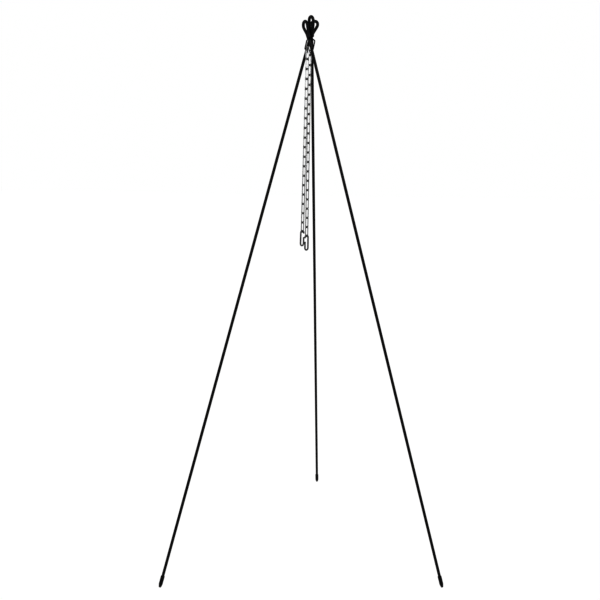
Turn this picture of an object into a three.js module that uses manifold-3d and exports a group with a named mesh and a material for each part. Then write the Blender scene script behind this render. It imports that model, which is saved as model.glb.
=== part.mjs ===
// Campfire tripod with a doubled hanging chain.
//
// Three steel rods cross at a neck and end above it in long teardrop eyes. A closed oval ring lies
// round the three rods under their eyes, so the rods can't part. A slanted middle link hangs on the
// low front end of that ring and carries two strands of long-link chain, with a hook on each.
// Millimetres, +Z up, the feet stand on z = 0.

import * as THREE from 'three';
import { mergeVertices } from 'three/addons/utils/BufferGeometryUtils.js';
import Module from 'manifold-3d';

// Tripod.
const NECK_HEIGHT = 1508;          // height of the crossing above the ground
const FOOT_CIRCLE = 460;           // radius of the circle that the feet stand on
const ROD_RADIUS = 4;              // 8 mm round bar
const GAP = 0.3;                   // clearance between touching pieces

// Each leg: the azimuth of its foot (0 is the front, positive towards +X), the place where its axis
// passes the neck height, and its eye: turn of the eye's plane about the leg, distances along the
// leg above the neck where the two bars part and where the bend's centre line peaks, and the shift
// of the bend to one side.
const LEGS = [
  { name: 'left', azimuth: -57.9, neck: [0, 8], turn: 30, part: 10, peak: 55, lean: -1.7 },
  { name: 'right', azimuth: 62.1, neck: [0, -8], turn: 56, part: 9, peak: 51, lean: -2.7 },
  { name: 'rear', azimuth: 172.4, neck: [7, -0.8], turn: -52, part: 14, peak: 60, lean: -1.8 },
];
const EYE_RADIUS = 10.8;           // centre-line radius of the eye's round top
const EYE_BAR_SPACING = 8.4;       // between the rod and the returning bar where they lie together
const EYE_TAIL = 5;                // length of the returning bar below the parting point
const EYE_SHOULDER = 14;           // length over which the rod bends aside under the eye
const EYE_EASE = 0.45;            // how far the eye's sides run on before they turn, part of their length

// Foot ferrule, measured along the leg from the point where its axis meets the ground.
const FERRULE_LENGTH = 32;
const FERRULE_RADIUS = 5.4;
const FERRULE_POINT_LENGTH = 9;
const FERRULE_POINT_RADIUS = 3.4;
const FERRULE_FLOOR = 7;           // thickness of solid metal under the rod's end

// Joining ring: the oval's two ends, relative to the neck point.
const RING_LOW_END = [-1.1, -30.5, -32.0];
const RING_HIGH_END = [5.0, 21.4, 6.4];
const RING_WIDTH = 22.4;            // between centre lines
const RING_WIRE_RADIUS = 1.75;

// Long-link chain: 3 mm wire, 26 mm pitch, 12 mm outer width.
const WIRE_RADIUS = 1.5;
const LINK_WIDTH = 9;              // between centre lines
const LINK_LENGTH = 29.3;          // between the centre lines of the two crowns
const LINK_SPACING = 2 * WIRE_RADIUS + GAP;
const LINK_PITCH = LINK_LENGTH - LINK_SPACING;
const LINKS_PER_STRAND = 19;
const MIDDLE_LINK_SLOPE = 42;      // degrees below horizontal
const MIDDLE_LINK_AZIMUTH = 66;    // direction of its lower end in plan, in degrees from +X
const STRAND_AZIMUTH = 45;         // direction across every second link, in degrees from +X
const SEAT_GAP = 0.2;              // further clearance where a strand crosses the middle link

// The strands spread a little: drift is how far each one moves towards +X for each unit of its
// length. Arm is the side of its hook's free arm, which faces the other strand.
const STRANDS = [
  { name: 'left', drift: -0.0102, arm: 1 },
  { name: 'right', drift: 0.0018, arm: -1 },
];

// Long-armed hooks.
const HOOK_WIRE_RADIUS = 2.25;
const HOOK_RADIUS = 6;             // centre-line radius of both bends
const HOOK_LENGTH = 42;            // between the centre lines of the two bends
const HOOK_ARM = 18;               // length of the free arm above the lower bend
const HOOK_TIP_DROP = 20;          // how far the upper bend goes past half a turn, in degrees

const BLACK_ENAMEL = new THREE.MeshStandardMaterial({ color: 0x101112, roughness: 0.35, metalness: 0.2 });
const ZINC = new THREE.MeshStandardMaterial({ color: 0xc9ccd0, roughness: 0.3, metalness: 1.0 });
const STEEL = new THREE.MeshStandardMaterial({ color: 0x8b8d90, roughness: 0.4, metalness: 1.0 });

const UP = new THREE.Vector3(0, 0, 1);
const radians = THREE.MathUtils.degToRad;
const neck = new THREE.Vector3(0, 0, NECK_HEIGHT);

// How finely the round shapes are divided.
const ROD_SIDES = 12;
const EYE_STEPS = 48;
const FERRULE_SIDES = 16;
const LINK_SIDES = 6;
const LINK_END_STEPS = 4;
const RING_SIDES = 10;
const RING_END_STEPS = 8;
const HOOK_SIDES = 8;
const HOOK_STEPS = 30;
const MERGE_DISTANCE = 1e-4;

const manifold = await Module();
manifold.setup();

// Closed oval centre line (a link or a ring) in the XZ plane, long along Z. Equal steps of t land on
// the points of its two round ends.
class Oval extends THREE.Curve {
  constructor(length, width, endSteps) {
    super();
    this.radius = width / 2;
    this.half = (length - width) / 2;
    this.endSteps = endSteps;
    this.steps = 2 * (endSteps + 1);
  }

  getPoint(t) {
    const step = (t * this.steps) % this.steps;
    const atTop = step < this.endSteps + 1;
    const along = atTop ? step : step - this.endSteps - 1;
    const side = atTop ? 1 : -1;
    const angle = (Math.PI * Math.min(along, this.endSteps)) / this.endSteps;
    const straight = Math.max(along - this.endSteps, 0);
    const x = side * this.radius * Math.cos(angle);
    const z = side * (this.half * (1 - 2 * straight) + this.radius * Math.sin(angle));
    return new THREE.Vector3(x, 0, z);
  }

  getPointAt(t) {
    return this.getPoint(t);
  }

  getTangentAt(t) {
    return this.getTangent(t);
  }
}

// A plane with an origin, a long direction and a direction across it, for flat bent shapes.
function bendPlane(origin, along, across) {
  const point = (s, w) => origin.clone().addScaledVector(along, s).addScaledVector(across, w);
  return { point };
}

// Arc in a bend plane. Angle 0 points along the plane's long direction, 90 degrees points across.
class PlanarArc extends THREE.Curve {
  constructor(plane, s, w, radius, from, to) {
    super();
    Object.assign(this, { plane, s, w, radius, from, to });
  }

  getPoint(t) {
    const angle = this.from + (this.to - this.from) * t;
    return this.plane.point(this.s + this.radius * Math.cos(angle), this.w + this.radius * Math.sin(angle));
  }
}

function joinCurves(curves) {
  const path = new THREE.CurvePath();
  curves.forEach((curve) => path.add(curve));
  return path;
}

// Round bar along an open path.
function bar(path, radius, sides, steps) {
  const section = new THREE.Shape();
  for (let i = 0; i < sides; i += 1) {
    const angle = (2 * Math.PI * i) / sides;
    const x = radius * Math.cos(angle);
    const y = radius * Math.sin(angle);
    if (i === 0) section.moveTo(x, y);
    else section.lineTo(x, y);
  }
  section.closePath();
  return new THREE.ExtrudeGeometry(section, { extrudePath: path, steps, bevelEnabled: false });
}

function part(name, geometry, material) {
  const mesh = new THREE.Mesh(geometry, material);
  mesh.name = name;
  return mesh;
}

// Places a mesh whose shape lies in its own XZ plane: X goes across and Z goes along.
function place(mesh, origin, across, along) {
  const normal = new THREE.Vector3().crossVectors(along, across);
  mesh.quaternion.setFromRotationMatrix(new THREE.Matrix4().makeBasis(across, normal, along));
  mesh.position.copy(origin);
  return mesh;
}

function toSolid(geometry) {
  const bare = geometry.clone();
  bare.deleteAttribute('normal');
  bare.deleteAttribute('uv');
  const merged = mergeVertices(bare, MERGE_DISTANCE);
  const vertProperties = new Float32Array(merged.attributes.position.array);
  const triVerts = new Uint32Array(merged.index.array);
  return new manifold.Manifold(new manifold.Mesh({ numProp: 3, vertProperties, triVerts }));
}

function toGeometry(solid) {
  const mesh = solid.getMesh();
  const geometry = new THREE.BufferGeometry();
  geometry.setAttribute('position', new THREE.BufferAttribute(mesh.vertProperties, 3));
  geometry.setIndex(new THREE.BufferAttribute(mesh.triVerts, 1));
  return geometry;
}

// ---- Legs ----

// The leg's foot point, the point where it crosses the neck height, its axis (foot to neck) and the
// direction across its eye.
function legFrame(leg) {
  const azimuth = radians(leg.azimuth);
  const foot = new THREE.Vector3(FOOT_CIRCLE * Math.sin(azimuth), -FOOT_CIRCLE * Math.cos(azimuth), 0);
  const crossing = neck.clone().add(new THREE.Vector3(leg.neck[0], leg.neck[1], 0));
  const axis = crossing.clone().sub(foot).normalize();
  const level = new THREE.Vector3().crossVectors(UP, axis).normalize();
  const steep = new THREE.Vector3().crossVectors(axis, level);
  const turn = radians(leg.turn);
  const across = level.clone().multiplyScalar(Math.cos(turn)).addScaledVector(steep, Math.sin(turn));
  return { foot, crossing, axis, across };
}

// One side of the eye: from the point where the bars part to the point where the round top begins.
function eyeSide(plane, leg, side) {
  const centre = new THREE.Vector2(leg.peak - EYE_RADIUS, leg.lean);
  const start = new THREE.Vector2(leg.part, (side * EYE_BAR_SPACING) / 2);
  const offset = start.clone().sub(centre);
  const opening = Math.acos(EYE_RADIUS / offset.length());
  const angle = Math.atan2(offset.y, offset.x) - side * opening;
  const outward = new THREE.Vector2(Math.cos(angle), Math.sin(angle));
  const end = centre.clone().addScaledVector(outward, EYE_RADIUS);
  const reach = EYE_EASE * end.distanceTo(start);
  const tangent = end.clone().sub(start).normalize();
  const curve = new THREE.CubicBezierCurve3(
    plane.point(start.x, start.y),
    plane.point(start.x + reach, start.y),
    plane.point(end.x - tangent.x * reach, end.y - tangent.y * reach),
    plane.point(end.x, end.y),
  );
  return { curve, angle };
}

function reversed(curve) {
  return new THREE.CubicBezierCurve3(curve.v3, curve.v2, curve.v1, curve.v0);
}

function legEye(leg, frame) {
  const plane = bendPlane(frame.crossing, frame.axis, frame.across);
  const offset = EYE_BAR_SPACING / 2;
  const shoulderStart = leg.part - EYE_SHOULDER + GAP;
  const shoulder = new THREE.CubicBezierCurve3(
    plane.point(shoulderStart, 0),
    plane.point(leg.part - EYE_SHOULDER / 2, 0),
    plane.point(leg.part - EYE_SHOULDER / 2, -offset),
    plane.point(leg.part, -offset),
  );
  const rodSide = eyeSide(plane, leg, -1);
  const returnSide = eyeSide(plane, leg, 1);
  const centre = leg.peak - EYE_RADIUS;
  const top = new PlanarArc(plane, centre, leg.lean, EYE_RADIUS, rodSide.angle, returnSide.angle);
  const tail = new THREE.LineCurve3(plane.point(leg.part, offset), plane.point(leg.part - EYE_TAIL, offset));
  const path = joinCurves([shoulder, rodSide.curve, top, reversed(returnSide.curve), tail]);
  return part(`leg_${leg.name}_eye`, bar(path, ROD_RADIUS, ROD_SIDES, EYE_STEPS), BLACK_ENAMEL);
}

function legRod(leg, frame) {
  const start = frame.foot.clone().addScaledVector(frame.axis, FERRULE_FLOOR + GAP);
  const end = frame.crossing.clone().addScaledVector(frame.axis, leg.part - EYE_SHOULDER);
  const path = new THREE.LineCurve3(start, end);
  return part(`leg_${leg.name}_rod`, bar(path, ROD_RADIUS, ROD_SIDES, 1), BLACK_ENAMEL);
}

// Pointed sleeve on the rod's lower end, trimmed level with the ground so that it has a small flat.
function footFerrule(leg, frame) {
  const bore = ROD_RADIUS + GAP;
  const overrun = 3;
  const profile = [
    [0, -overrun],
    [FERRULE_POINT_RADIUS, -overrun],
    [FERRULE_POINT_RADIUS, 0],
    [FERRULE_RADIUS, FERRULE_POINT_LENGTH],
    [FERRULE_RADIUS, FERRULE_LENGTH],
    [bore, FERRULE_LENGTH],
    [bore, FERRULE_FLOOR],
    [0, FERRULE_FLOOR],
  ].map(([radius, along]) => new THREE.Vector2(radius, along));
  const sleeve = new THREE.LatheGeometry(profile, FERRULE_SIDES);
  sleeve.applyQuaternion(new THREE.Quaternion().setFromUnitVectors(new THREE.Vector3(0, 1, 0), frame.axis));
  sleeve.translate(frame.foot.x, frame.foot.y, frame.foot.z);
  const side = 4 * FERRULE_LENGTH;
  const aboveGround = new THREE.BoxGeometry(side, side, side);
  aboveGround.translate(frame.foot.x, frame.foot.y, side / 2);
  const trimmed = toSolid(sleeve).intersect(toSolid(aboveGround));
  return part(`foot_ferrule_${leg.name}`, toGeometry(trimmed), BLACK_ENAMEL);
}

// ---- Joining ring and middle link ----

function ovalLoop(name, length, width, wireRadius, endSteps, sides, material) {
  const path = new Oval(length, width, endSteps);
  return part(name, new THREE.TubeGeometry(path, path.steps, wireRadius, sides, true), material);
}

function chainLink(name, centre, across, along) {
  const loop = ovalLoop(name, LINK_LENGTH, LINK_WIDTH, WIRE_RADIUS, LINK_END_STEPS, LINK_SIDES, ZINC);
  return place(loop, centre, across, along);
}

function joiningRing(low, high) {
  const along = high.clone().sub(low);
  const length = along.length();
  along.normalize();
  const across = new THREE.Vector3(1, 0, 0).addScaledVector(along, -along.x).normalize();
  const centre = low.clone().add(high).multiplyScalar(0.5);
  const finish = [RING_END_STEPS, RING_SIDES, BLACK_ENAMEL];
  const loop = ovalLoop('joining_ring', length, RING_WIDTH, RING_WIRE_RADIUS, ...finish);
  return place(loop, centre, across, along);
}

// Hangs slanted by its upper bar on the ring's wire. The strands hang from the two points where its
// lower side turns, and it is placed so that they balance.
function middleLink(ringEnd) {
  const slope = radians(MIDDLE_LINK_SLOPE);
  const azimuth = radians(MIDDLE_LINK_AZIMUTH);
  const level = new THREE.Vector3(Math.cos(azimuth), Math.sin(azimuth), 0);
  const along = level.clone().multiplyScalar(Math.cos(slope)).addScaledVector(UP, -Math.sin(slope));
  const across = level.clone().multiplyScalar(Math.sin(slope)).addScaledVector(UP, Math.cos(slope));
  const radius = LINK_WIDTH / 2;
  const reach = (LINK_LENGTH - LINK_WIDTH) / 2;
  const ringPlay = radius - RING_WIRE_RADIUS - WIRE_RADIUS - GAP;
  const linkPlay = radius - LINK_SPACING;
  const balance = Math.tan(slope) * (ringPlay + linkPlay / 2);
  const centre = ringEnd.clone().addScaledVector(across, -ringPlay).addScaledVector(along, balance);
  const drop = linkPlay - SEAT_GAP;
  const seats = [
    centre.clone().addScaledVector(along, -reach).addScaledVector(across, -drop),
    centre.clone().addScaledVector(along, reach).addScaledVector(UP, -drop),
  ];
  return { mesh: chainLink('chain_middle_link', centre, across, along), seats };
}

// ---- Strands and hooks ----

// Flat hook: a bend over the last link, a straight shank, and a lower bend whose free arm rises
// beside the shank, on the side that across points to.
function longHook(name, crown, across, up) {
  const bottom = HOOK_LENGTH - 2 * HOOK_RADIUS;
  const plane = bendPlane(crown.clone().addScaledVector(up, -HOOK_RADIUS), across, up);
  const upper = new PlanarArc(plane, 0, 0, HOOK_RADIUS, -radians(HOOK_TIP_DROP), Math.PI);
  const lower = new PlanarArc(plane, 0, -bottom, HOOK_RADIUS, Math.PI, 2 * Math.PI);
  const shank = new THREE.LineCurve3(upper.getPoint(1), lower.getPoint(0));
  const arm = new THREE.LineCurve3(lower.getPoint(1), plane.point(HOOK_RADIUS, HOOK_ARM - bottom));
  const path = joinCurves([upper, shank, lower, arm]);
  return part(name, bar(path, HOOK_WIRE_RADIUS, HOOK_SIDES, HOOK_STEPS), STEEL);
}

// One strand, from its first link on the middle link down to its hook.
function strand({ name, drift, arm }, seat) {
  const azimuth = radians(STRAND_AZIMUTH);
  const up = new THREE.Vector3(-drift, 0, 1).normalize();
  const evenAcross = new THREE.Vector3(Math.cos(azimuth), Math.sin(azimuth), 0);
  evenAcross.addScaledVector(up, -evenAcross.dot(up)).normalize();
  const oddAcross = new THREE.Vector3().crossVectors(up, evenAcross);
  const pieces = [];
  const crown = seat.clone();
  for (let i = 0; i < LINKS_PER_STRAND; i += 1) {
    const across = i % 2 === 0 ? oddAcross : evenAcross;
    const centre = crown.clone().addScaledVector(up, -LINK_LENGTH / 2);
    const number = String(i + 1).padStart(2, '0');
    pieces.push(chainLink(`chain_link_${name}_${number}`, centre, across, up));
    crown.addScaledVector(up, -LINK_PITCH);
  }
  crown.addScaledVector(up, HOOK_WIRE_RADIUS - WIRE_RADIUS);
  pieces.push(longHook(`hook_${name}`, crown, evenAcross.clone().multiplyScalar(arm), up));
  return pieces;
}

// ---- Assembly ----

const tripod = new THREE.Group();
const frames = LEGS.map(legFrame);
LEGS.forEach((leg, i) => {
  tripod.add(legRod(leg, frames[i]), legEye(leg, frames[i]), footFerrule(leg, frames[i]));
});
const ringLow = neck.clone().add(new THREE.Vector3(...RING_LOW_END));
const ringHigh = neck.clone().add(new THREE.Vector3(...RING_HIGH_END));
const middle = middleLink(ringLow);
tripod.add(joiningRing(ringLow, ringHigh), middle.mesh);
STRANDS.forEach((side, i) => {
  tripod.add(...strand(side, middle.seats[i]));
});

// The origin is on the ground, at the middle of the rectangle round the three feet.
const footprint = new THREE.Box3().setFromPoints(frames.map((frame) => frame.foot));
const origin = footprint.getCenter(new THREE.Vector3());
tripod.position.set(-origin.x, -origin.y, 0);

export default tripod;
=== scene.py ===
"""Campfire tripod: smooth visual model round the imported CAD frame.

The CAD nodes are faceted. They are replaced here by smooth pieces of the same size in the same
place, a leg's rod and eye by one piece. Lengths in the shape code are in millimetres, and
make_mesh() turns them into metres.
"""
import math

import bpy
import numpy as np
from mathutils import Matrix

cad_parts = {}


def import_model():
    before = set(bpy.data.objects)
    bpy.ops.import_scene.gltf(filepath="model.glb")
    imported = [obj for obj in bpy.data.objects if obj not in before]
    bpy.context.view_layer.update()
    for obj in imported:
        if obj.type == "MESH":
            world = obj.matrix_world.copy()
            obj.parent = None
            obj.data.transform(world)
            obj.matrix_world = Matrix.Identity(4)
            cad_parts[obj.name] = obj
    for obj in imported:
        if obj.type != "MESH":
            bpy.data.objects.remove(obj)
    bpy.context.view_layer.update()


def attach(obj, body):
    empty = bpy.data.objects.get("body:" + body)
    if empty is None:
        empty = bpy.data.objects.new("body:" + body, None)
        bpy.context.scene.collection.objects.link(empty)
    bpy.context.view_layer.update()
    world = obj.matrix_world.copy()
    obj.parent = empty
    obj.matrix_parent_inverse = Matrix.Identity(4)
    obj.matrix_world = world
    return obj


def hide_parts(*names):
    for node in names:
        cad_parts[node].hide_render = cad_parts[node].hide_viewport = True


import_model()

MM = 0.001
UP = np.array([0.0, 0.0, 1.0])
X_AXIS = np.array([1.0, 0.0, 0.0])

# ---- Dimensions, the same as the CAD's ----

NECK_HEIGHT = 1508.0
FOOT_CIRCLE = 460.0
ROD_RADIUS = 4.0
GAP = 0.3
LEGS = {
    "left": dict(azimuth=-57.9, neck=(0.0, 8.0), turn=30.0, part=10.0, peak=55.0, lean=-1.7),
    "right": dict(azimuth=62.1, neck=(0.0, -8.0), turn=56.0, part=9.0, peak=51.0, lean=-2.7),
    "rear": dict(azimuth=172.4, neck=(7.0, -0.8), turn=-52.0, part=14.0, peak=60.0, lean=-1.8),
}
EYE_RADIUS = 10.8
EYE_BAR_SPACING = 8.4
EYE_TAIL = 5.0
EYE_SHOULDER = 14.0
FERRULE_LENGTH = 32.0
FERRULE_RADIUS = 5.4
FERRULE_POINT_RADIUS = 3.4
FERRULE_FLOOR = 7.0
RING_LOW_END = np.array([-1.1, -30.5, -32.0])
RING_HIGH_END = np.array([5.0, 21.4, 6.4])
RING_WIDTH = 22.4
RING_WIRE_RADIUS = 1.75
WIRE_RADIUS = 1.5
LINK_WIDTH = 9.0
LINK_LENGTH = 29.3
LINK_SPACING = 2 * WIRE_RADIUS + GAP
LINK_PITCH = LINK_LENGTH - LINK_SPACING
LINKS_PER_STRAND = 19
MIDDLE_LINK_SLOPE = 42.0
MIDDLE_LINK_AZIMUTH = 66.0
STRAND_AZIMUTH = 45.0
SEAT_GAP = 0.2
STRAND_DRIFTS = {"left": -0.0102, "right": 0.0018}
HOOK_WIRE_RADIUS = 2.25
HOOK_RADIUS = 6.0
HOOK_LENGTH = 42.0
HOOK_ARM = 18.0
HOOK_TIP_DROP = 20.0
HOOK_ARM_SIDES = {"left": 1, "right": -1}

# ---- Fineness of the meshes ----

ROD_STEPS = 40
SHOULDER_STEPS = 16
EYE_SIDE_STEPS = 22
EYE_TOP_STEPS = 48
TAIL_STEPS = 5
LEG_SIDES = 28
DOME_STEPS = 5
BEAD_STEPS = 30
BEAD_SIDES = 16
FERRULE_SIDES = 48
LOOP_END_STEPS = 21
LOOP_SIDE_STEPS = 13
LOOP_SIDES = 18
HOOK_ARC_STEPS = 30
HOOK_SHANK_STEPS = 14
HOOK_ARM_STEPS = 10
HOOK_SIDES = 22

# ---- Details that only the visual model has ----

EYE_EASE = 0.45
TAIL_ROUNDING = 0.9
HOOK_ROUNDING = 0.7
BEAD_INSET = 0.6
BEAD_RISE = 3.0
BEAD_OFFSET = 2.15
BEAD_RADIUS = 1.45
BEAD_COARSE_RIPPLE = 0.10
BEAD_COARSE_RATE = 4.2
BEAD_FINE_RIPPLE = 0.05
BEAD_FINE_RATE = 9.1
BEAD_TAPER_START = 0.12
BEAD_TAPER_POWER = 0.35
WELD_SWELL = 0.085
WELD_HALF_LENGTH = 1.5
WELD_NECKING = 0.05
WELD_NECKING_AT = 2.4
WELD_NECKING_WIDTH = 0.6
WELD_SHIFT = 0.8
WELD_SHIFT_RATE = 2.3
RING_WELD_SHIFT = 1.0
# Painted shade on the link crowns, where the links overlap: where it begins, how far it fades, and
# its curve.
CROWN_SHADE_START = 5.4
CROWN_SHADE_FADE = 3.4
CROWN_SHADE_POWER = 1.3
# The middle link is made almost wholly dark.
MIDDLE_LINK_DARKENING = 0.95
MIDDLE_LINK_INDEX = 2
# How dark the top link of a strand is made, and how much darker the links get towards the lower
# end.
TOP_LINK_DARKENING = 0.1
STRAND_DARKENING_GAIN = 0.6
FIRST_LINK_INDEX = {"left": 3, "right": 8}

# ---- Noise, stage, light and camera; metres and degrees unless the name says otherwise ----

NOISE_RANGE = (0.3, 0.7)
FLOOR_HALF_SIZE = 30.0
FLOOR_DROP = 0.0005
FLOOR_GLOW = 0.99
DISPLAY_GAMMA = 0.65
LIGHT_TARGET = (0, 0, 0.9)
LIGHTS = (
    dict(name="key", position=(1.8, -2.2, 3.2), size=1.6, power=60),
    dict(name="fill", position=(-2.4, -1.6, 2.0), size=2.0, power=25),
)
CAMERA_SENSOR = 36.0
CAMERA_LENS = 42.0
CAMERA_REACH = 100.0
CAMERA_YAW, CAMERA_PITCH, CAMERA_ROLL = -0.36, 10.53, 1.03
CAMERA_PLACE_MM = (0.0, -2023.6, 1156.8)


def unit(vector):
    return vector / np.linalg.norm(vector)


def leg_frame(leg):
    """Foot, crossing point, axis (foot to neck), and the direction across the eye's plane."""
    azimuth = math.radians(leg["azimuth"])
    foot = FOOT_CIRCLE * np.array([math.sin(azimuth), -math.cos(azimuth), 0.0])
    crossing = np.array([leg["neck"][0], leg["neck"][1], NECK_HEIGHT])
    axis = unit(crossing - foot)
    level = unit(np.cross(UP, axis))
    steep = np.cross(axis, level)
    turn = math.radians(leg["turn"])
    across = level * math.cos(turn) + steep * math.sin(turn)
    return dict(foot=foot, crossing=crossing, axis=axis, across=across)


FRAMES = {name: leg_frame(leg) for name, leg in LEGS.items()}
FEET = np.array([f["foot"] for f in FRAMES.values()])
SHIFT = -(FEET.min(axis=0) + FEET.max(axis=0)) / 2
NECK = np.array([0.0, 0.0, NECK_HEIGHT])


# ---- Mesh helpers ----

def make_mesh(name, verts, faces, material, shade_and_darkening=None):
    """A smooth piece. The last argument, from 0 to 1 at each vertex, is painted shade and
    darkening, which the material reads.
    """
    mesh = bpy.data.meshes.new(name)
    mesh.from_pydata(((np.asarray(verts) + SHIFT) * MM).tolist(), [], faces)
    if shade_and_darkening is not None:
        attribute = mesh.attributes.new("shade_and_darkening", "FLOAT", "POINT")
        attribute.data.foreach_set("value", np.asarray(shade_and_darkening, np.float32))
    mesh.polygons.foreach_set("use_smooth", [True] * len(mesh.polygons))
    mesh.materials.append(material)
    piece = bpy.data.objects.new(name, mesh)
    bpy.context.scene.collection.objects.link(piece)
    return piece


def transport(points, closed):
    """Tangents and a side vector that doesn't twist, at each point of a path."""
    if closed:
        ahead, behind = np.roll(points, -1, axis=0), np.roll(points, 1, axis=0)
    else:
        ahead = np.vstack([points[1:], 2 * points[-1] - points[-2]])
        behind = np.vstack([2 * points[0] - points[1], points[:-1]])
    tangents = ahead - behind
    tangents /= np.linalg.norm(tangents, axis=1)[:, None]
    helper = UP if abs(tangents[0] @ UP) < 0.9 else X_AXIS
    side = unit(np.cross(tangents[0], helper))
    sides = []
    for tangent in tangents:
        side = unit(side - tangent * (side @ tangent))
        sides.append(side)
    return tangents, np.array(sides)


def sweep(points, radii, count, closed=False):
    """Round bar along a path. Open bars get flat ends; their edges come from the radii."""
    points = np.asarray(points, float)
    radii = np.broadcast_to(np.asarray(radii, float), (len(points),))
    tangents, sides = transport(points, closed)
    others = np.cross(tangents, sides)
    angles = 2 * math.pi * np.arange(count) / count
    rings = (points[:, None] + radii[:, None, None]
             * (np.cos(angles)[None, :, None] * sides[:, None]
                + np.sin(angles)[None, :, None] * others[:, None]))
    verts = rings.reshape(-1, 3)
    faces = []
    total = len(points)
    for i in range(total if closed else total - 1):
        j = (i + 1) % total
        for k in range(count):
            m = (k + 1) % count
            faces.append((i * count + k, i * count + m, j * count + m, j * count + k))
    if not closed:
        faces.append(tuple(reversed(range(count))))
        faces.append(tuple((total - 1) * count + k for k in range(count)))
    return verts, faces


def join(parts):
    verts, faces, offset = [], [], 0
    for part_verts, part_faces in parts:
        verts.append(part_verts)
        faces += [tuple(i + offset for i in face) for face in part_faces]
        offset += len(part_verts)
    return np.vstack(verts), faces


def rounded_ends(points, radius, start, end):
    """Path and radii of an open bar whose ends are rounded over by start and end, or not at 0."""
    points = [np.asarray(p, float) for p in points]

    def dome(tip, inner, rounding):
        direction = unit(tip - inner)
        extra_points, extra_radii = [], []
        for step in range(DOME_STEPS):
            angle = math.pi / 2 * step / (DOME_STEPS - 1)
            extra_points.append(tip - direction * rounding * (1 - math.sin(angle)))
            extra_radii.append(radius - rounding * (1 - math.cos(angle)))
        return extra_points, extra_radii

    radii = [radius] * len(points)
    if end:
        extra_points, extra_radii = dome(points[-1], points[-2], end)
        points, radii = points[:-1] + extra_points, radii[:-1] + extra_radii
    if start:
        extra_points, extra_radii = dome(points[0], points[1], start)
        points = extra_points[::-1] + points[1:]
        radii = extra_radii[::-1] + radii[1:]
    return np.array(points), np.array(radii)


def bezier(a, b, c, d, steps):
    t = np.linspace(0, 1, steps)[:, None]
    return a * (1 - t) ** 3 + 3 * b * t * (1 - t) ** 2 + 3 * c * t ** 2 * (1 - t) + d * t ** 3


def oval_points(length, width, end_steps, side_steps):
    """Closed oval as (across, along) pairs, starting at the top end."""
    radius, half = width / 2, (length - width) / 2
    angles = np.linspace(0, math.pi, end_steps)
    top = np.stack([radius * np.cos(angles), half + radius * np.sin(angles)], axis=1)
    fractions = np.linspace(0, 1, side_steps + 2)[1:-1, None]
    left = top[-1] + (np.array([-radius, -half]) - top[-1]) * fractions
    return np.vstack([top, left, -top, -left])


# ---- Materials ----

def new_material(name, base, metallic, roughness):
    material = bpy.data.materials.new(name)
    material.use_nodes = True
    tree = material.node_tree
    shader = tree.nodes["Principled BSDF"]
    shader.inputs["Base Color"].default_value = (*base, 1)
    shader.inputs["Metallic"].default_value = metallic
    shader.inputs["Roughness"].default_value = roughness
    return material, tree, shader


def noise(tree, scale, detail, roughness=0.5):
    """Noise in object space."""
    coordinates = tree.nodes.new("ShaderNodeTexCoord")
    texture = tree.nodes.new("ShaderNodeTexNoise")
    texture.inputs["Scale"].default_value = scale
    texture.inputs["Detail"].default_value = detail
    texture.inputs["Roughness"].default_value = roughness
    tree.links.new(coordinates.outputs["Object"], texture.inputs["Vector"])
    return texture.outputs["Fac"]


def ramp(tree, source, stops):
    node = tree.nodes.new("ShaderNodeValToRGB")
    elements = node.color_ramp.elements
    while len(elements) < len(stops):
        elements.new(0.5)
    for element, (position, colour) in zip(elements, stops):
        element.position = position
        element.color = (*colour, 1)
    tree.links.new(source, node.inputs["Fac"])
    return node.outputs["Color"]


def mix(tree, factor, a, b, blend="MIX"):
    node = tree.nodes.new("ShaderNodeMix")
    node.data_type = "RGBA"
    node.blend_type = blend
    for key, value in (("Factor", factor), ("A", a), ("B", b)):
        socket = next(s for s in node.inputs if s.name == key and s.enabled)
        if isinstance(value, (tuple, float)):
            socket.default_value = (*value, 1) if isinstance(value, tuple) else value
        else:
            tree.links.new(value, socket)
    return next(s for s in node.outputs if s.enabled)


def spread(tree, source, low, high):
    """The middle of a noise's range, spread from low to high."""
    node = tree.nodes.new("ShaderNodeMapRange")
    node.inputs["From Min"].default_value = NOISE_RANGE[0]
    node.inputs["From Max"].default_value = NOISE_RANGE[1]
    node.inputs["To Min"].default_value = low
    node.inputs["To Max"].default_value = high
    tree.links.new(source, node.inputs["Value"])
    return node.outputs["Result"]


def bump(tree, shader, layers):
    """Bump layers as (height socket, distance in metres), one after the other."""
    normal = None
    for height, distance in layers:
        node = tree.nodes.new("ShaderNodeBump")
        node.inputs["Strength"].default_value = 1.0
        node.inputs["Distance"].default_value = distance
        tree.links.new(height, node.inputs["Height"])
        if normal:
            tree.links.new(normal, node.inputs["Normal"])
        normal = node.outputs["Normal"]
    tree.links.new(normal, shader.inputs["Normal"])


def shade_and_darkening_mask(tree):
    """The piece's painted shade and darkening, read from its vertex values and broken up by noise
    so that its edge isn't even.
    """
    attribute = tree.nodes.new("ShaderNodeAttribute")
    attribute.attribute_name = "shade_and_darkening"
    product = tree.nodes.new("ShaderNodeMath")
    product.operation = "MULTIPLY"
    product.use_clamp = True
    tree.links.new(attribute.outputs["Fac"], product.inputs[0])
    tree.links.new(spread(tree, noise(tree, 620, 4, 0.6), 0.72, 1.15), product.inputs[1])
    return product.outputs["Value"]


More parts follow.
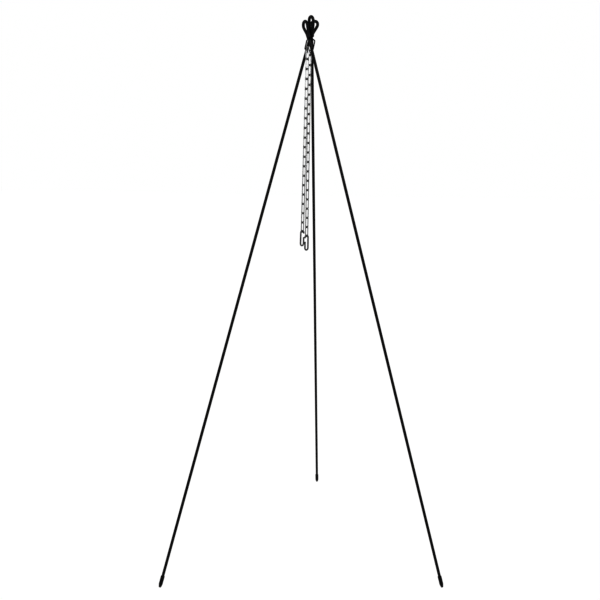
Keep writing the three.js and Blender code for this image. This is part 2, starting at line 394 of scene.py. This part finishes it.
def enamel_material():
    material, tree, shader = new_material("black_enamel_paint", (0.003, 0.003, 0.003), 0.0, 0.36)
    shader.inputs["Specular IOR Level"].default_value = 0.13
    patches = noise(tree, 60, 4)
    specks = noise(tree, 900, 2)
    tint = ramp(tree, patches, [(0.35, (0.0018, 0.0018, 0.002)), (0.7, (0.0042, 0.0042, 0.004))])
    dusty = ramp(tree, specks, [(0.66, (0, 0, 0)), (0.78, (0.009, 0.009, 0.0088))])
    colour = mix(tree, 1.0, tint, dusty, "ADD")
    tree.links.new(colour, shader.inputs["Base Color"])
    tree.links.new(spread(tree, noise(tree, 140, 4), 0.26, 0.44), shader.inputs["Roughness"])
    bump(tree, shader, [(noise(tree, 420, 2), 0.00006), (noise(tree, 55, 2), 0.00025)])
    return material


def zinc_material():
    material, tree, shader = new_material("bright_zinc", (0.78, 0.79, 0.81), 1.0, 0.26)
    patches = noise(tree, 70, 3)
    spangle = noise(tree, 520, 4, 0.6)
    tint = ramp(tree, patches, [(0.3, (0.50, 0.51, 0.53)), (0.5, (0.61, 0.62, 0.63)),
                                (0.72, (0.70, 0.69, 0.67))])
    grain = ramp(tree, spangle, [(0.3, (0.84, 0.84, 0.84)), (0.6, (1.0, 1.0, 1.0))])
    plain_zinc = mix(tree, 1.0, tint, grain, "MULTIPLY")
    # Painted shade: the zinc goes to near black (0.10) where the links overlap at their crowns,
    # and on links made darker as a whole.
    shaded_and_darkened = mix(tree, shade_and_darkening_mask(tree), plain_zinc, (0.10, 0.10, 0.098))
    tree.links.new(shaded_and_darkened, shader.inputs["Base Color"])
    tree.links.new(spread(tree, noise(tree, 260, 4), 0.18, 0.38), shader.inputs["Roughness"])
    bump(tree, shader, [(noise(tree, 700, 3), 0.00003), (noise(tree, 150, 2), 0.00008)])
    return material


def hook_material():
    material, tree, shader = new_material("dull_zinc_hook", (0.42, 0.42, 0.43), 1.0, 0.38)
    patches = noise(tree, 90, 4)
    pits = noise(tree, 800, 3, 0.6)
    tint = ramp(tree, patches, [(0.3, (0.055, 0.055, 0.057)), (0.55, (0.10, 0.10, 0.102)),
                                (0.75, (0.17, 0.168, 0.16))])
    grain = ramp(tree, pits, [(0.3, (0.72, 0.71, 0.70)), (0.6, (1.0, 1.0, 1.0))])
    tree.links.new(mix(tree, 1.0, tint, grain, "MULTIPLY"), shader.inputs["Base Color"])
    tree.links.new(spread(tree, noise(tree, 300, 4), 0.30, 0.52), shader.inputs["Roughness"])
    bump(tree, shader, [(noise(tree, 650, 3), 0.00004), (noise(tree, 120, 2), 0.0001)])
    return material


ENAMEL = enamel_material()
ZINC = zinc_material()
HOOK_STEEL = hook_material()


def finish_piece(piece, body, slot, *nodes):
    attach(piece, body)
    if nodes:
        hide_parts(*nodes)


# ---- Legs ----

def eye_side(at, leg, side):
    """Points from where the bars part to where the round top begins, and the angle there."""
    centre = np.array([leg["peak"] - EYE_RADIUS, leg["lean"]])
    start = np.array([leg["part"], side * EYE_BAR_SPACING / 2])
    offset = start - centre
    opening = math.acos(EYE_RADIUS / np.linalg.norm(offset))
    angle = math.atan2(offset[1], offset[0]) - side * opening
    end = centre + EYE_RADIUS * np.array([math.cos(angle), math.sin(angle)])
    reach = EYE_EASE * np.linalg.norm(end - start)
    tangent = unit(end - start)
    points = bezier(at(start[0], start[1]), at(start[0] + reach, start[1]),
                    at(*(end - tangent * reach)), at(*end), EYE_SIDE_STEPS)
    return points, angle


def leg_path(leg, place):
    """The bar's whole path from the foot round the eye, and at(), which places points by it."""
    def at(along, across):
        return place["crossing"] + place["axis"] * along + place["across"] * across

    offset = EYE_BAR_SPACING / 2
    bottom = place["foot"] + place["axis"] * (FERRULE_FLOOR + GAP)
    shoulder_start = leg["part"] - EYE_SHOULDER
    rod = np.linspace(bottom, at(shoulder_start, 0), ROD_STEPS)
    middle = leg["part"] - EYE_SHOULDER / 2
    shoulder = bezier(at(shoulder_start, 0), at(middle, 0), at(middle, -offset),
                      at(leg["part"], -offset), SHOULDER_STEPS)
    up, angle_from = eye_side(at, leg, -1)
    down, angle_to = eye_side(at, leg, 1)
    angles = np.linspace(angle_from, angle_to, EYE_TOP_STEPS)
    centre = leg["peak"] - EYE_RADIUS
    top = np.array([at(centre + EYE_RADIUS * math.cos(a), leg["lean"] + EYE_RADIUS * math.sin(a))
                    for a in angles])
    tail = np.linspace(at(leg["part"], offset), at(leg["part"] - EYE_TAIL, offset), TAIL_STEPS)
    return np.vstack([rod, shoulder[1:], up[1:], top[1:], down[::-1][1:], tail[1:]]), at


def weld_beads(leg, at, normal):
    """A rippled bead in each valley between the rod and the returning bar."""
    parts = []
    for side in (-1, 1):
        along = np.linspace(leg["part"] - EYE_TAIL + BEAD_INSET, leg["part"] + BEAD_RISE,
                            BEAD_STEPS)
        ripple = (1 + BEAD_COARSE_RIPPLE * np.sin(along * BEAD_COARSE_RATE + side)
                  + BEAD_FINE_RIPPLE * np.sin(along * BEAD_FINE_RATE))
        angles = np.linspace(BEAD_TAPER_START, math.pi - BEAD_TAPER_START, BEAD_STEPS)
        taper = np.sin(angles) ** BEAD_TAPER_POWER
        points = np.array([at(s, 0) + normal * side * BEAD_OFFSET for s in along])
        parts.append(sweep(points, BEAD_RADIUS * ripple * taper, BEAD_SIDES))
    return join(parts)


def build_leg(name):
    leg, place = LEGS[name], FRAMES[name]
    path, at = leg_path(leg, place)
    points, radii = rounded_ends(path, ROD_RADIUS, 0, TAIL_ROUNDING)
    verts, faces = sweep(points, radii, LEG_SIDES)
    piece = make_mesh(f"leg_{name}", verts, faces, ENAMEL)
    finish_piece(piece, f"leg_{name}", "black_enamel", f"leg_{name}_rod", f"leg_{name}_eye")
    normal = np.cross(place["axis"], place["across"])
    verts, faces = weld_beads(leg, at, normal)
    bead = make_mesh(f"eye_weld_{name}", verts, faces, ENAMEL)
    finish_piece(bead, f"leg_{name}", "black_enamel")


def build_ferrule(name):
    """Pointed sleeve: turned profile with softened edges, cut level with the ground.

    The profile is radius and distance from the foot, from the point over the rim into the bore.
    """
    place = FRAMES[name]
    bore = ROD_RADIUS + GAP
    profile = [
        (0.0, 0.0), (FERRULE_POINT_RADIUS * 0.55, 0.0), (FERRULE_POINT_RADIUS - 0.5, 0.05),
        (FERRULE_POINT_RADIUS - 0.12, 0.35), (FERRULE_POINT_RADIUS + 0.1, 0.9),
        (4.3, 4.4), (5.05, 7.8), (5.3, 8.8), (FERRULE_RADIUS, 10.2), (FERRULE_RADIUS, 20.0),
        (FERRULE_RADIUS, FERRULE_LENGTH - 0.9), (5.3, FERRULE_LENGTH - 0.35),
        (5.05, FERRULE_LENGTH - 0.06), (4.85, FERRULE_LENGTH), (4.5, FERRULE_LENGTH - 0.05),
        (bore, FERRULE_LENGTH - 0.4), (bore, FERRULE_FLOOR + 0.4), (bore - 0.4, FERRULE_FLOOR),
    ]
    axis = place["axis"]
    side = unit(np.cross(axis, X_AXIS))
    other = np.cross(axis, side)
    angles = 2 * math.pi * np.arange(FERRULE_SIDES) / FERRULE_SIDES
    verts = [place["foot"].copy()]
    for radius, along in profile[1:]:
        for angle in angles:
            radial = radius * (math.cos(angle) * side + math.sin(angle) * other)
            point = place["foot"] + axis * along + radial
            if point[2] < 0:
                point = point - axis * (point[2] / axis[2])
            verts.append(point)
    rings = len(profile) - 1
    verts.append(place["foot"] + axis * FERRULE_FLOOR)
    last = len(verts) - 1
    faces = []
    for k in range(FERRULE_SIDES):
        m = (k + 1) % FERRULE_SIDES
        faces.append((0, 1 + m, 1 + k))
        for i in range(rings - 1):
            a, b = 1 + i * FERRULE_SIDES, 1 + (i + 1) * FERRULE_SIDES
            faces.append((a + k, a + m, b + m, b + k))
        tail = 1 + (rings - 1) * FERRULE_SIDES
        faces.append((tail + k, tail + m, last))
    piece = make_mesh(f"ferrule_{name}", verts, faces, ENAMEL)
    finish_piece(piece, f"leg_{name}", "black_enamel", f"foot_ferrule_{name}")


# ---- Ring, chain and hooks ----

def loop_mesh(centre, across, along, length, width, radius, weld_side, weld_shift):
    """Closed wire loop with a butt weld on one straight side, weld_shift from its middle."""
    flat = oval_points(length, width, LOOP_END_STEPS, LOOP_SIDE_STEPS)
    points = centre + flat[:, :1] * across + flat[:, 1:] * along
    half = (length - width) / 2
    on_side = (np.sign(flat[:, 0]) == weld_side) & (np.abs(flat[:, 1]) < half)
    distance = np.abs(flat[:, 1] - weld_shift)
    bulge = WELD_SWELL * np.exp(-(distance / WELD_HALF_LENGTH) ** 2)
    necking = WELD_NECKING * np.exp(-((distance - WELD_NECKING_AT) / WELD_NECKING_WIDTH) ** 2)
    swell = np.where(on_side, bulge - necking, 0.0)
    return sweep(points, radius * (1 + swell), LOOP_SIDES, closed=True)


def build_link(name, body, centre, across, along, index, link_darkening):
    """One link. The last argument sets how dark the whole link is made, from 0 to 1. Its crowns
    get painted shade, where the next links overlap them.

    index varies the weld's place and side from link to link.
    """
    weld_shift = WELD_SHIFT * math.sin(index * WELD_SHIFT_RATE)
    verts, faces = loop_mesh(centre, across, along, LINK_LENGTH, LINK_WIDTH, WIRE_RADIUS,
                             1 if index % 3 else -1, weld_shift)
    # Painted shade on the crowns, where the next links overlap them.
    height = np.abs((verts - centre) @ along)
    crown = LINK_LENGTH / 2 - WIRE_RADIUS - GAP
    crown_shade = (np.clip((height - crown + CROWN_SHADE_START) / CROWN_SHADE_FADE, 0, 1)
              ** CROWN_SHADE_POWER)
    shade_and_darkening = link_darkening + (1 - link_darkening) * crown_shade
    piece = make_mesh(f"{name}_wire", verts, faces, ZINC, shade_and_darkening)
    finish_piece(piece, body, "zinc", name)


def build_ring():
    """The ring round the legs. Returns its low end, where the middle link hangs."""
    low, high = NECK + RING_LOW_END, NECK + RING_HIGH_END
    length = np.linalg.norm(high - low)
    along = unit(high - low)
    across = unit(X_AXIS - along * along[0])
    verts, faces = loop_mesh((low + high) / 2, across, along, length, RING_WIDTH,
                             RING_WIRE_RADIUS, 1, RING_WELD_SHIFT)
    piece = make_mesh("ring_wire", verts, faces, ENAMEL)
    finish_piece(piece, "ring", "black_enamel", "joining_ring")
    return low


def build_middle_link(ring_end):
    """The slanted link on the ring. Returns the two places where the strands hang."""
    slope, azimuth = math.radians(MIDDLE_LINK_SLOPE), math.radians(MIDDLE_LINK_AZIMUTH)
    level = np.array([math.cos(azimuth), math.sin(azimuth), 0.0])
    along = level * math.cos(slope) - UP * math.sin(slope)
    across = level * math.sin(slope) + UP * math.cos(slope)
    ring_play = LINK_WIDTH / 2 - RING_WIRE_RADIUS - WIRE_RADIUS - GAP
    link_play = LINK_WIDTH / 2 - LINK_SPACING
    reach = (LINK_LENGTH - LINK_WIDTH) / 2
    balance = math.tan(slope) * (ring_play + link_play / 2)
    centre = ring_end - across * ring_play + along * balance
    build_link("chain_middle_link", "middle_link", centre, across, along, MIDDLE_LINK_INDEX,
               MIDDLE_LINK_DARKENING)
    drop = link_play - SEAT_GAP
    return {"left": centre - along * reach - across * drop,
            "right": centre + along * reach - UP * drop}


def build_strand(side, seat):
    """The links of one strand, darker towards the lower end, and its hook."""
    azimuth = math.radians(STRAND_AZIMUTH)
    up = unit(np.array([-STRAND_DRIFTS[side], 0.0, 1.0]))
    even_across = np.array([math.cos(azimuth), math.sin(azimuth), 0.0])
    even_across = unit(even_across - up * (even_across @ up))
    odd_across = np.cross(up, even_across)
    for i in range(LINKS_PER_STRAND):
        number = f"{i + 1:02d}"
        centre = seat - up * (LINK_LENGTH / 2 + i * LINK_PITCH)
        build_link(f"chain_link_{side}_{number}", f"{side}_link_{number}", centre,
                   even_across if i % 2 else odd_across, up, i + FIRST_LINK_INDEX[side],
                   TOP_LINK_DARKENING + STRAND_DARKENING_GAIN * i / LINKS_PER_STRAND)
    crown = seat - up * (LINKS_PER_STRAND * LINK_PITCH - HOOK_WIRE_RADIUS + WIRE_RADIUS)
    build_hook(side, crown, even_across * HOOK_ARM_SIDES[side], up)


def build_hook(side, crown, across, up):
    """Wire hook: upper bend with a short tip, shank, and lower bend with a free arm."""
    bottom = HOOK_LENGTH - 2 * HOOK_RADIUS
    origin = crown - up * HOOK_RADIUS

    def arc(drop, start, end):
        middle = origin - up * drop
        return np.array([middle + HOOK_RADIUS * (across * math.cos(a) + up * math.sin(a))
                         for a in np.linspace(start, end, HOOK_ARC_STEPS)])

    upper = arc(0, -math.radians(HOOK_TIP_DROP), math.pi)
    lower = arc(bottom, math.pi, 2 * math.pi)
    shank = np.linspace(upper[-1], lower[0], HOOK_SHANK_STEPS)[1:-1]
    arm = np.linspace(lower[-1], lower[-1] + up * HOOK_ARM, HOOK_ARM_STEPS)[1:]
    path = np.vstack([upper, shank, lower, arm])
    points, radii = rounded_ends(path, HOOK_WIRE_RADIUS, HOOK_ROUNDING, HOOK_ROUNDING)
    verts, faces = sweep(points, radii, HOOK_SIDES)
    piece = make_mesh(f"hook_{side}_wire", verts, faces, HOOK_STEEL)
    finish_piece(piece, f"{side}_hook", "hook_steel", f"hook_{side}")


for leg_name in LEGS:
    build_leg(leg_name)
    build_ferrule(leg_name)
for strand_side, strand_seat in build_middle_link(build_ring()).items():
    build_strand(strand_side, strand_seat)


# ---- Floor, camera, world and lights ----

def stage():
    """A white floor that glows just below full white, so no shadow or horizon shows on it."""
    material, _, shader = new_material("studio_floor", (0.02, 0.02, 0.02), 0.0, 1.0)
    shader.inputs["Specular IOR Level"].default_value = 0.0
    shader.inputs["Emission Color"].default_value = (1, 1, 1, 1)
    shader.inputs["Emission Strength"].default_value = FLOOR_GLOW
    size, level = FLOOR_HALF_SIZE, -FLOOR_DROP
    mesh = bpy.data.meshes.new("floor")
    mesh.from_pydata([(-size, -size, level), (size, -size, level),
                      (size, size, level), (-size, size, level)], [], [(0, 1, 2, 3)])
    mesh.materials.append(material)
    floor = bpy.data.objects.new("floor", mesh)
    bpy.context.scene.collection.objects.link(floor)


def area_light(name, position, size, power):
    data = bpy.data.lights.new(name, "AREA")
    data.size = size
    data.energy = power
    light = bpy.data.objects.new(name, data)
    bpy.context.scene.collection.objects.link(light)
    backward = unit(np.array(position) - np.array(LIGHT_TARGET))
    right = unit(np.cross(UP, backward))
    rotation = np.column_stack([right, np.cross(backward, right), backward])
    light.matrix_world = Matrix.Translation(position) @ Matrix(rotation.tolist()).to_4x4()


def camera():
    data = bpy.data.cameras.new("camera")
    data.sensor_width = CAMERA_SENSOR
    data.lens = CAMERA_LENS
    data.clip_end = CAMERA_REACH
    yaw, pitch, roll = (math.radians(a) for a in (CAMERA_YAW, CAMERA_PITCH, CAMERA_ROLL))
    forward = np.array([math.sin(yaw) * math.cos(pitch), math.cos(yaw) * math.cos(pitch),
                        -math.sin(pitch)])
    right = unit(np.cross(forward, UP))
    up = np.cross(right, forward)
    rolled_right = math.cos(roll) * right + math.sin(roll) * up
    rolled_up = -math.sin(roll) * right + math.cos(roll) * up
    rotation = np.column_stack([rolled_right, rolled_up, -forward])
    position = (np.array(CAMERA_PLACE_MM) + SHIFT) * MM
    obj = bpy.data.objects.new("camera", data)
    bpy.context.scene.collection.objects.link(obj)
    obj.matrix_world = Matrix.Translation(position.tolist()) @ Matrix(rotation.tolist()).to_4x4()
    bpy.context.scene.camera = obj


def world():
    """White surroundings. The display gamma darkens the half tones, so thin wire reads as dark."""
    new_world = bpy.data.worlds.new("studio")
    new_world.use_nodes = True
    background = new_world.node_tree.nodes["Background"]
    background.inputs["Color"].default_value = (1.0, 1.0, 1.0, 1)
    background.inputs["Strength"].default_value = 1.0
    bpy.context.scene.world = new_world
    bpy.context.scene.view_settings.view_transform = "Standard"
    bpy.context.scene.view_settings.gamma = DISPLAY_GAMMA


stage()
camera()
world()
for lamp in LIGHTS:
    area_light(**lamp)
